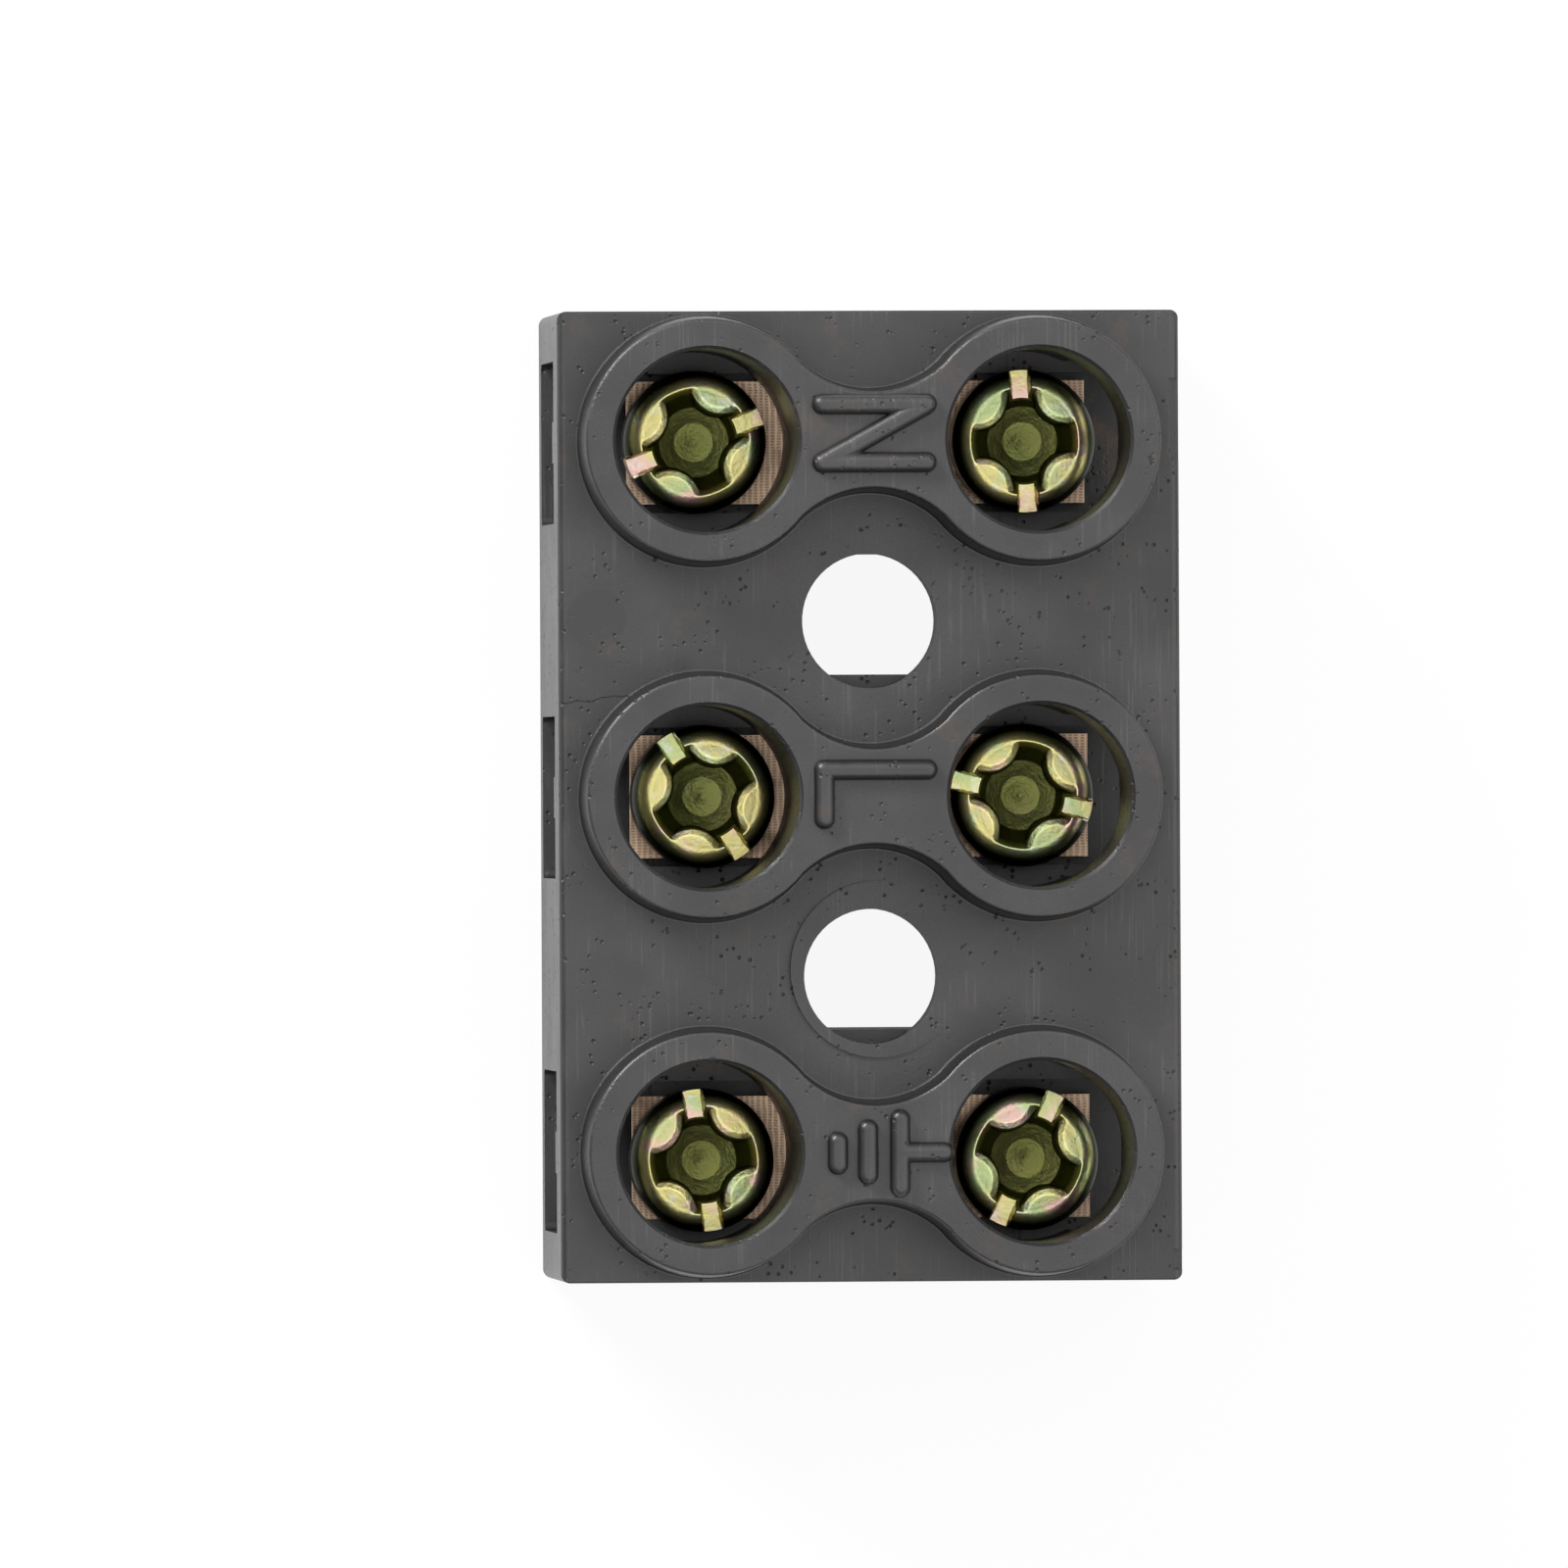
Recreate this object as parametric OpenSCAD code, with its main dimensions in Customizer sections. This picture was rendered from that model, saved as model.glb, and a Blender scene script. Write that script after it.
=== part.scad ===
// Three-pole barrier terminal strip, phenolic block with six clamp screws.
// Origin at the centre of the underside, +Z up through the screws,
// +Y along the row of poles, +X along the bars. Sizes in millimetres.

/* [Block] */
// Length of the block, along its row of poles
block_length = 47.2; // [47.2:0.1:60]
// Width of the block, along its bars
block_width = 30.3; // [29.3:0.1:40]
// Height of the block, from its underside to its top face
block_height = 14; // [13.5:0.25:18]
// Rounding of the four upright corners
corner_radius = 0.45; // [0.2:0.05:1.5]
// Rounding of the two long edges of the top face
side_edge_radius = 0.4; // [0.1:0.05:0.6]
// Rounding of the two short edges of the top face
end_edge_radius = 0.12; // [0.04:0.02:0.12]

/* [Poles] */
// Distance from one pole to the next
pole_pitch = 17.28; // [17.1:0.02:17.28]
// Distance between the centres of the two rings of a pole
ring_spacing = 16.15; // [15.55:0.1:17.05]
// Radius of a ring at its outer wall
ring_radius = 5.93; // [5.63:0.05:5.93]
// Height of the rings and their necks above the top face
ring_height = 3.2; // [1:0.1:5]
// Draft of a raised wall over its height
ring_draft = 0.16; // [0.04:0.02:0.16]
// Rounding of the shoulder of a raised wall
ring_round = 0.2; // [0.1:0.05:0.4]
// Rounding where a raised wall meets the top face
ring_fillet = 0.1; // [0.04:0.02:0.1]
// Width of the neck that joins two rings, at its narrowest
neck_width = 4.7; // [3:0.1:6]

/* [Wells and wire mouths] */
// Radius of a screw well
well_radius = 4.45; // [4.4:0.05:4.8]
// Chamfer round the rim of a well
well_chamfer = 0.15; // [0.05:0.05:0.3]
// Width of a wire mouth
mouth_width = 7.9; // [7.7:0.1:9]
// Thickness of the floor under a wire mouth
floor_thickness = 1.6; // [1.2:0.1:2.4]
// Thickness of the roof over a wire mouth
roof_thickness = 3.1; // [2:0.1:3.6]
// Rounding of the two lower corners of a wire mouth
mouth_corner = 0.4; // [0.2:0.05:1]
// Width of the stiffening rib under the roof of a wire mouth
rib_width = 2; // [1:0.1:3]
// Depth of that rib below the roof
rib_depth = 0.9; // [0.4:0.1:1]

/* [Bar seat] */
// Height of the bar's seat above the floor of the wire mouths
seat_height = 3.3; // [3:0.1:3.9]
// How far the seat reaches in under each long edge of a bar
seat_lip = 0.4; // [0.25:0.05:0.4]
// Free space beside each long edge of a bar
bar_side_gap = 0.4; // [0.35:0.05:0.6]
// Free space above a bar where it passes between the wells
bar_top_gap = 0.3; // [0.2:0.05:0.5]
// Depth of the seat behind the face of the block
seat_setback = 3.65; // [2.4:0.05:3.7]
// Thickness of the wall under the middle of a bar
middle_wall = 3; // [1:0.25:6]

/* [Fixing holes] */
// Radius of a fixing hole
fixing_radius = 3.28; // [2.8:0.02:3.4]
// How far the fixing holes stand nearer the earth pole than midway
fixing_shift = 0.12; // [0:0.02:0.3]
// Distance from a fixing hole's centre to the flat of its pocket
fixing_flat = 2.6; // [2.4:0.05:3]
// Distance from a fixing hole's centre to the far wall of its pocket
pocket_far = 3.35; // [3.3:0.05:3.6]
// Length of the pocket under a fixing hole
pocket_length = 21; // [10:0.5:24]
// Thickness of the plate that a fixing hole passes through
fixing_plate = 2; // [1.5:0.1:3]
// Rounding of the upright corners of a pocket
pocket_corner = 0.5; // [0.2:0.1:1.5]
// Radius of the tilted pad left by the mould round the lower fixing hole
pad_radius = 4.3; // [3.8:0.05:4.6]
// How far that pad's middle stands from the hole's, in X and Y alike
pad_shift = 0.35; // [0.1:0.05:0.5]
// Height of that pad above the top face on its high side
pad_height = 0.24; // [0.1:0.02:0.4]

/* [Bars] */
// Length of a bar
bar_length = 22.4; // [20.8:0.1:23]
// Width of a bar
bar_width = 6; // [5.5:0.1:6.2]
// Thickness of a bar
bar_thickness = 1.2; // [0.8:0.1:1.5]
// How much closer a bar's screws are than its rings
bar_draw_in = 0.25; // [0:0.05:0.4]
// Width of the countersink round a tapped hole
tap_countersink = 0.2; // [0.1:0.05:0.4]

/* [Clamp screws] */
// Radius of the screw's thread
thread_radius = 2; // [1.5:0.05:2.1]
// Running clearance between screw and tapped hole
thread_clearance = 0.03; // [0.01:0.01:0.08]
// Length of the screw under its head
screw_length = 4.3; // [4:0.1:4.6]
// Length of the chamfer at the screw's tip
tip_chamfer = 0.5; // [0.2:0.1:1]
// Space between a screw head and its bar, with no wire clamped
head_lift = 0.3; // [0.3:0.05:0.8]
// Radius of a screw head
head_radius = 3.5; // [3:0.05:3.5]
// Height of a screw head
head_height = 2.6; // [2.4:0.1:3]
// Rounding of the shoulder of a screw head
shoulder_radius = 0.9; // [0.5:0.05:1.2]
// Rise of the dome of a screw head
dome_rise = 0.1; // [0.02:0.02:0.3]

/* [Screw recess] */
// Width of the slot across a screw head
slot_width = 1; // [0.8:0.05:1.3]
// Depth of the slot
slot_depth = 0.95; // [0.6:0.05:1.2]
// Radius of the cross recess at the top of a head
recess_radius = 2.65; // [2.2:0.05:2.7]
// Depth of the cross recess at its wings
wing_depth = 1.6; // [1.2:0.1:1.8]
// Radius of the cross recess at the foot of its wings
wing_foot_radius = 1.75; // [1.4:0.05:2]
// Radius of the floor cone of the cross recess
recess_floor_radius = 0.95; // [0.6:0.05:1.2]
// Depth of the floor cone's edge below the foot of the wings
floor_step = 0.3; // [0.1:0.05:0.4]
// Depth of the floor cone's point below its edge
floor_cone_depth = 0.2; // [0.1:0.05:0.3]
// Radius of the four lands between the wings
land_radius = 1.55; // [1.2:0.05:1.7]
// Distance from the screw's axis to the centre of a land
land_distance = 3.18; // [3:0.02:3.4]
// How much wider a land is at its foot than at its top
land_draft = 0.2; // [0:0.05:0.3]

/* [Wear] */
// Width of the chips broken out of the top edges
chip_width = 0.5; // [0.3:0.02:0.8]
// Length of the chip beside the first pole
chip_length = 4; // [1:0.5:6]
// Length of the chip at the corner beside the last pole
corner_chip_length = 1; // [0.5:0.25:2]

/* [Hidden] */

// Poles, and sides of a pole
neutral = 0;
line = 1;
earth = 2;
left = -1;
right = 1;

$fn = 72;
// Overlap of a cutter past the face it cuts
over = 1;
// How far the rings and the neck's curves cross, so that they meet in a crease
crease = 0.03;
// Steps of the rounded shoulder of a head, and of the roundings of a ring
shoulder_steps = 8;
round_steps = 6;
fillet_steps = 3;
// Direction in which the pad by the lower fixing hole stands highest
pad_heading = 195;

// Where each bar has come to lie in its seat: along it and across it
bar_slip = [[-0.01, 0.03], [0.08, 0.01], [0.1, -0.36]];
// How far off its drawn place each bar's holes were tapped: outward, across
tap_drift = [[0.1, 0], [-0.15, 0], [0, -0.1]];
// Angle of each screw's slot from the +X axis: left screw, right screw
slot_angle = [[21.2, 93.7], [-56.7, -12.9], [-81.3, 65.3]];

function pole_y(pole) = (1 - pole) * pole_pitch;
function well_x(side) = side * ring_spacing / 2;
// Middle of a tapped hole, from the middle of its bar
function tap_place(pole, side) = [
    side * (ring_spacing / 2 - bar_draw_in / 2 + tap_drift[pole].x),
    tap_drift[pole].y, 0];
// Middle of the fixing hole that follows a pole
function fixing_y(pole) = pole_y(pole) - pole_pitch / 2 - fixing_shift;

mouth_top = block_height - roof_thickness;
seat_z = floor_thickness + seat_height;
bar_top = seat_z + bar_thickness;
ledge_z = bar_top + bar_top_gap;
seat_end = block_width / 2 - seat_setback;
channel_width = bar_width + 2 * bar_side_gap;
under_width = bar_width - 2 * seat_lip;
ring_top = block_height + ring_height;
pocket_width = fixing_flat + pocket_far;
head_z = bar_top + head_lift;

// The neck is left between two round cutters, each of which just crosses
// both rings. This is the radius that gives the neck its width.
neck_half = neck_width / 2;
ring_reach = ring_radius - crease;
neck_curve = (pow(ring_spacing / 2, 2) + pow(neck_half, 2) - pow(ring_reach, 2))
    / (2 * (ring_reach - neck_half));
neck_curve_y = neck_half + neck_curve;
neck_limit_y = neck_curve_y / (ring_radius + neck_curve)
    * (ring_radius + (ring_draft + ring_fillet - ring_round) / 2);

// A rectangle with four round corners, centred.
module rounded_rectangle(width, depth, radius) {
    square([width - 2 * radius, depth], center = true);
    square([width, depth - 2 * radius], center = true);
    for (x = [-1, 1], y = [-1, 1])
        translate([x * (width / 2 - radius), y * (depth / 2 - radius)])
            circle(radius);
}

// The plain block: upright corners and top edges are round.
module block() {
    intersection() {
        linear_extrude(block_height)
            rounded_rectangle(block_width, block_length, corner_radius);
        rotate([90, 0, 0])
            linear_extrude(block_length + 2 * over, center = true)
                rounded_rectangle(block_width, 2 * block_height,
                                  side_edge_radius);
        rotate([90, 0, 90])
            linear_extrude(block_width + 2 * over, center = true)
                rounded_rectangle(block_length, 2 * block_height,
                                  end_edge_radius);
    }
}

// Outline of a raised wall, from below the top face to above the ring:
// fillet at the foot, drafted wall, round shoulder. direction is 1 for a
// ring, which narrows upward, and -1 for a cutter.
function raised_wall(radius, direction, above) = concat(
    [[0, -over],
     [radius + direction * (ring_draft + ring_fillet), -over]],
    [for (i = [0 : fillet_steps])
        let (a = 90 * i / fillet_steps)
        [radius + direction * (ring_draft + ring_fillet * (1 - sin(a))),
         ring_fillet * (1 - cos(a))]],
    [for (i = [0 : round_steps])
        let (a = 90 * i / round_steps)
        [radius - direction * ring_round * (1 - cos(a)),
         ring_height - ring_round * (1 - sin(a))]],
    above > 0 ? [[radius - direction * ring_round, ring_height + above]] : [],
    [[0, ring_height + above]]
);

// Two rings and their neck, standing on the top face round a pole.
module ring_pair() {
    for (side = [left, right])
        translate([side * ring_spacing / 2, 0, block_height])
            rotate_extrude() polygon(raised_wall(ring_radius, 1, 0));
    difference() {
        translate([-ring_spacing / 2, -neck_limit_y, block_height - over])
            cube([ring_spacing, 2 * neck_limit_y, ring_height + over]);
        for (y = [-neck_curve_y, neck_curve_y])
            translate([0, y, block_height])
                rotate_extrude() polygon(raised_wall(neck_curve, -1, over));
    }
}

// A screw well, from the bar's level up through the ring.
module well(side) {
    translate([well_x(side), 0, ledge_z])
        cylinder(h = ring_top - ledge_z + over, r = well_radius);
    translate([well_x(side), 0, ring_top - well_chamfer])
        cylinder(h = well_chamfer + over, r1 = well_radius,
                 r2 = well_radius + well_chamfer + over);
}

// Section of a wire mouth: round lower corners, and a rib under the roof.
module mouth_section() {
    height = mouth_top - floor_thickness;
    difference() {
        union() {
            rounded_rectangle(mouth_width, height, mouth_corner);
            translate([-mouth_width / 2, 0]) square([mouth_width, height / 2]);
        }
        translate([-rib_width / 2, height / 2 - rib_depth])
            square([rib_width, rib_depth + over]);
    }
}

// A wire mouth, from the face of the block in to the bar's seat.
module wire_mouth() {
    translate([seat_end, 0, (mouth_top + floor_thickness) / 2])
        rotate([90, 0, 90])
            linear_extrude(seat_setback + over) mouth_section();
}

// Everything that is open inside one pole.
module pole_cavity() {
    for (side = [left, right]) {
        well(side);
        mirror([side == left ? 1 : 0, 0, 0]) {
            wire_mouth();
            // Over the seat, out to the well's middle
            translate([ring_spacing / 2, -mouth_width / 2, ledge_z])
                cube([seat_end - ring_spacing / 2 + over, mouth_width,
                      mouth_top - ledge_z]);
            // Under the bar, where the screw comes through
            translate([middle_wall / 2, -under_width / 2, floor_thickness])
                cube([seat_end - middle_wall / 2 + over, under_width,
                      seat_height + over / 2]);
        }
    }
    // The channel that the bar lies in
    translate([-seat_end - over, -channel_width / 2, seat_z])
        cube([2 * (seat_end + over), channel_width, ledge_z - seat_z]);
}

// A fixing hole with the pocket below it. The pocket's flat wall stands a
// little inside the hole, so a ledge shows through the hole along one side.
module fixing_cavity() {
    translate([0, 0, block_height - fixing_plate])
        cylinder(h = fixing_plate + over, r = fixing_radius);
    translate([0, (pocket_far - fixing_flat) / 2, -over])
        linear_extrude(block_height - fixing_plate + over)
            rounded_rectangle(pocket_length, pocket_width, pocket_corner);
}

// The pad that the mould left round the lower fixing hole: a disc whose top
// leans, so that it stands out on one side and runs out on the other.
module fixing_pad() {
    middle_height = pad_height / 3;
    lean = asin((pad_height - middle_height) / pad_radius);
    translate([pad_shift, fixing_y(line) + pad_shift, block_height])
        rotate([0, 0, pad_heading])
            rotate([0, -lean, 0])
                translate([0, 0, middle_height - over])
                    cylinder(h = over, r = pad_radius);
}

// A chip broken out of the right-hand top edge, centred on a point of it.
module edge_chip(y, chip) {
    translate([block_width / 2, y, block_height])
        rotate([0, 45, 0])
            cube([chip_width * sqrt(2), chip, chip_width * sqrt(2)],
                 center = true);
}

module housing() {
    color("#2d2d30")
        difference() {
            union() {
                block();
                fixing_pad();
                for (pole = [neutral, line, earth])
                    translate([0, pole_y(pole), 0]) ring_pair();
            }
            for (pole = [neutral, line, earth])
                translate([0, pole_y(pole), 0]) pole_cavity();
            for (pole = [neutral, line])
                translate([0, fixing_y(pole), 0]) fixing_cavity();
            edge_chip(pole_y(neutral) + corner_chip_length, chip_length);
            edge_chip(-block_length / 2 + corner_chip_length, corner_chip_length);
        }
}

// A flat bar with a tapped and countersunk hole for each of its screws.
module bus_bar(pole) {
    hole_radius = thread_radius + thread_clearance;
    color("#b27a52")
        translate([bar_slip[pole].x, pole_y(pole) + bar_slip[pole].y, seat_z])
            difference() {
                translate([-bar_length / 2, -bar_width / 2, 0])
                    cube([bar_length, bar_width, bar_thickness]);
                for (side = [left, right])
                    translate(tap_place(pole, side)) {
                        translate([0, 0, -over])
                            cylinder(h = bar_thickness + 2 * over,
                                     r = hole_radius);
                        translate([0, 0, bar_thickness - tap_countersink])
                            cylinder(h = tap_countersink + over,
                                     r1 = hole_radius,
                                     r2 = hole_radius + tap_countersink + over);
                    }
            }
}

module bus_bar_neutral() { bus_bar(neutral); }
module bus_bar_line() { bus_bar(line); }
module bus_bar_earth() { bus_bar(earth); }

// Outline of the screw: tip, shank, underside of the head, side, shoulder
// as an arc, and dome.
function screw_outline() = concat(
    [[0, -screw_length],
     [thread_radius - tip_chamfer, -screw_length],
     [thread_radius, tip_chamfer - screw_length],
     [thread_radius, 0],
     [head_radius, 0]],
    [for (i = [0 : shoulder_steps])
        let (a = 90 * i / shoulder_steps)
        [head_radius - shoulder_radius * (1 - cos(a)),
         head_height - dome_rise - shoulder_radius * (1 - sin(a))]],
    [[0, head_height]]
);

// Outline of the recess before its lands are put back: steep wings, then a
// shallow cone for the driver's point.
recess_outline = [
    [0, head_height + over],
    [recess_radius, head_height + over],
    [recess_radius, head_height],
    [wing_foot_radius, head_height - wing_depth],
    [recess_floor_radius, head_height - wing_depth - floor_step],
    [0, head_height - wing_depth - floor_step - floor_cone_depth]
];

// The combined cross recess and slot, as the punch that forms it.
module driver_punch() {
    land_base = head_height - wing_depth - over;
    difference() {
        rotate_extrude() polygon(recess_outline);
        for (quarter = [0 : 3])
            rotate(45 + 90 * quarter)
                translate([land_distance, 0, land_base])
                    cylinder(h = wing_depth + 3 * over,
                             r1 = land_radius + land_draft, r2 = land_radius);
    }
    translate([-head_radius - over, -slot_width / 2, head_height - slot_depth])
        cube([2 * (head_radius + over), slot_width, slot_depth + over]);
}

// A pan-head clamp screw in its tapped hole.
module clamp_screw(pole, side) {
    turn = slot_angle[pole][side == left ? 0 : 1];
    color("#c6c07a")
        translate([bar_slip[pole].x, pole_y(pole) + bar_slip[pole].y, head_z]
                  + tap_place(pole, side))
            rotate(turn)
                difference() {
                    rotate_extrude() polygon(screw_outline());
                    driver_punch();
                }
}

module screw_neutral_left() { clamp_screw(neutral, left); }
module screw_neutral_right() { clamp_screw(neutral, right); }
module screw_line_left() { clamp_screw(line, left); }
module screw_line_right() { clamp_screw(line, right); }
module screw_earth_left() { clamp_screw(earth, left); }
module screw_earth_right() { clamp_screw(earth, right); }

housing();
bus_bar_neutral();
bus_bar_line();
bus_bar_earth();
screw_neutral_left();
screw_neutral_right();
screw_line_left();
screw_line_right();
screw_earth_left();
screw_earth_right();
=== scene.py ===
"""Looks of a three-pole barrier terminal strip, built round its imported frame.

The phenolic block and the copper bars keep their exact solids and are dressed
here. The six clamp screws are replaced by finer ones with formed heads and
rolled threads, and the moulded function marks are added. Lengths are metres,
and MM turns millimetres into metres.
"""

import logging
import math
from dataclasses import dataclass, field
from enum import Enum

import bpy
import numpy as np
from mathutils import Matrix, Vector


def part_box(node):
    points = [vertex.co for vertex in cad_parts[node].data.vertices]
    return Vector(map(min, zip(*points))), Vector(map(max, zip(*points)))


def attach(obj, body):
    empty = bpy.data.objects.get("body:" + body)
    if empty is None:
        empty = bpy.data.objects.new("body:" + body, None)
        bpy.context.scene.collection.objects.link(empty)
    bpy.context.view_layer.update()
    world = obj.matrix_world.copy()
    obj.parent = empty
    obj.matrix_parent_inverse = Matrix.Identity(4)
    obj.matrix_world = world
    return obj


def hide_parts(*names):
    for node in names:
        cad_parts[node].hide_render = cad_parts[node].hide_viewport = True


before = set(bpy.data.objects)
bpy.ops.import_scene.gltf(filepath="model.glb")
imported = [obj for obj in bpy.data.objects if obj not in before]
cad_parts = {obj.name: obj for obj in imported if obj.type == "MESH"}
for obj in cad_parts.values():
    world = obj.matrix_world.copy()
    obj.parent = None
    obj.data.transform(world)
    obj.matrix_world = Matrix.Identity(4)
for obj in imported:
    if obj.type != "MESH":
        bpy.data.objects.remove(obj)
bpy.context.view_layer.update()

MM = 0.001
BLOCK_BODY = "strip"
log = logging.getLogger("terminal_strip")


class Pole(Enum):
    """The three poles of the strip, by their function."""

    NEUTRAL = "neutral"
    LINE = "line"
    EARTH = "earth"


class Side(Enum):
    """The two ends of a bar."""

    LEFT = "left"
    RIGHT = "right"


# --------------------------------------------------------------------------
# Shader maths
# --------------------------------------------------------------------------


class Signal:
    """A value in a shader tree. Arithmetic on it adds Math nodes."""

    def __init__(self, bench: "Bench", socket: bpy.types.NodeSocket) -> None:
        """Wraps one output socket of a bench's tree."""
        self.bench = bench
        self.socket = socket

    def _math(self, operation: str, first: object, second: object) -> "Signal":
        """Adds one Math node.

        Args:
            operation: Blender's name of the operation.
            first: The first operand, a Signal or a number.
            second: The second operand, a Signal or a number.

        Returns:
            The node's result.
        """
        node = self.bench.node(
            "ShaderNodeMath", {"operation": operation}, {0: first, 1: second}
        )
        return Signal(self.bench, node.outputs[0])

    def __add__(self, other: object) -> "Signal":
        """Sum."""
        return self._math("ADD", self, other)

    __radd__ = __add__

    def __sub__(self, other: object) -> "Signal":
        """Difference."""
        return self._math("SUBTRACT", self, other)

    def __rsub__(self, other: object) -> "Signal":
        """Difference, with the number first."""
        return self._math("SUBTRACT", other, self)

    def __mul__(self, other: object) -> "Signal":
        """Product."""
        return self._math("MULTIPLY", self, other)

    __rmul__ = __mul__

    def __pow__(self, power: float) -> "Signal":
        """Power."""
        return self._math("POWER", self, power)

    def most(self, other: object) -> "Signal":
        """The larger of this and another value."""
        return self._math("MAXIMUM", self, other)

    def least(self, other: object) -> "Signal":
        """The smaller of this and another value."""
        return self._math("MINIMUM", self, other)

    def size(self) -> "Signal":
        """The value without its sign."""
        return self._math("ABSOLUTE", self, 0.0)

    def step(self, low: float, high: float) -> "Signal":
        """A smooth step from 0 at low to 1 at high, or falling if low > high."""
        node = self.bench.node(
            "ShaderNodeMapRange",
            {"interpolation_type": "SMOOTHSTEP"},
            {"Value": self, "From Min": low, "From Max": high},
        )
        return Signal(self.bench, node.outputs[0])


class Bench:
    """One shader tree, with one method that adds any node to it."""

    def __init__(self, tree: bpy.types.NodeTree) -> None:
        """Empties the tree and keeps it."""
        self.tree = tree
        tree.nodes.clear()

    def node(
        self,
        kind: str,
        settings: dict[str, object] | None = None,
        inputs: dict[object, object] | None = None,
    ) -> bpy.types.Node:
        """Adds a node, sets it up, then fills or links its sockets.

        Args:
            kind: Blender's name of the node type.
            settings: The node's own properties, set first.
            inputs: Values, Signals or sockets by socket name, identifier or
                place.

        Returns:
            The new node.
        """
        node = self.tree.nodes.new(kind)
        for name, value in (settings or {}).items():
            setattr(node, name, value)
        for key, value in (inputs or {}).items():
            socket = self._find(node, key)
            if isinstance(value, Signal):
                value = value.socket
            if isinstance(value, bpy.types.NodeSocket):
                self.tree.links.new(value, socket)
            else:
                socket.default_value = value
        return node

    @staticmethod
    def _find(node: bpy.types.Node, key: object) -> bpy.types.NodeSocket:
        """The input socket of that place, identifier or name."""
        if isinstance(key, int):
            return node.inputs[key]
        for socket in node.inputs:
            if socket.identifier == key:
                return socket
        return node.inputs[key]

    def place(self) -> bpy.types.NodeSocket:
        """The object coordinates, in metres."""
        return self.node("ShaderNodeTexCoord").outputs["Object"]

    def axis(self, vector: bpy.types.NodeSocket, index: int) -> Signal:
        """One component of a vector."""
        node = self.node("ShaderNodeSeparateXYZ", None, {0: vector})
        return Signal(self, node.outputs[index])

    def stretch(
        self,
        vector: bpy.types.NodeSocket,
        scale: tuple[float, float, float] = (1, 1, 1),
        turn: float = 0.0,
        shift: tuple[float, float, float] = (0, 0, 0),
    ) -> bpy.types.NodeSocket:
        """A vector moved, turned about Z in degrees, and scaled by axis."""
        node = self.node(
            "ShaderNodeMapping",
            {"vector_type": "POINT"},
            {
                "Vector": vector,
                "Location": shift,
                "Rotation": (0.0, 0.0, math.radians(turn)),
                "Scale": scale,
            },
        )
        return node.outputs[0]

    def noise(
        self,
        vector: bpy.types.NodeSocket,
        scale: float,
        detail: float = 2.0,
        rough: float = 0.55,
        warp: float = 0.0,
    ) -> Signal:
        """Soft noise between 0 and 1, with scale cells per metre."""
        node = self.node(
            "ShaderNodeTexNoise",
            None,
            {
                "Vector": vector,
                "Scale": scale,
                "Detail": detail,
                "Roughness": rough,
                "Distortion": warp,
            },
        )
        return Signal(self, node.outputs[0])

    def cells(self, vector: bpy.types.NodeSocket, scale: float) -> Signal:
        """Distance to the nearest of scattered points, in cell widths."""
        node = self.node(
            "ShaderNodeTexVoronoi", None, {"Vector": vector, "Scale": scale}
        )
        return Signal(self, node.outputs["Distance"])

    def mix(self, factor: object, first: object, second: object) -> Signal:
        """A colour between two colours."""
        node = self.node(
            "ShaderNodeMix",
            {"data_type": "RGBA"},
            {
                "Factor_Float": factor,
                "A_Color": _rgba(first),
                "B_Color": _rgba(second),
            },
        )
        result = next(s for s in node.outputs if s.identifier == "Result_Color")
        return Signal(self, result)

    def bump(self, height: Signal, depth: float) -> Signal:
        """A bumped normal from a height of 0 to 1 that stands for depth."""
        node = self.node(
            "ShaderNodeBump",
            None,
            {"Height": height, "Distance": depth, "Strength": 1.0},
        )
        return Signal(self, node.outputs[0])


def _rgba(colour: object) -> object:
    """A colour as four numbers, or the signal that it already is."""
    return colour if isinstance(colour, Signal) else (*colour, 1.0)


# --------------------------------------------------------------------------
# Finishes
# --------------------------------------------------------------------------

Colour = tuple[float, float, float]


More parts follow.
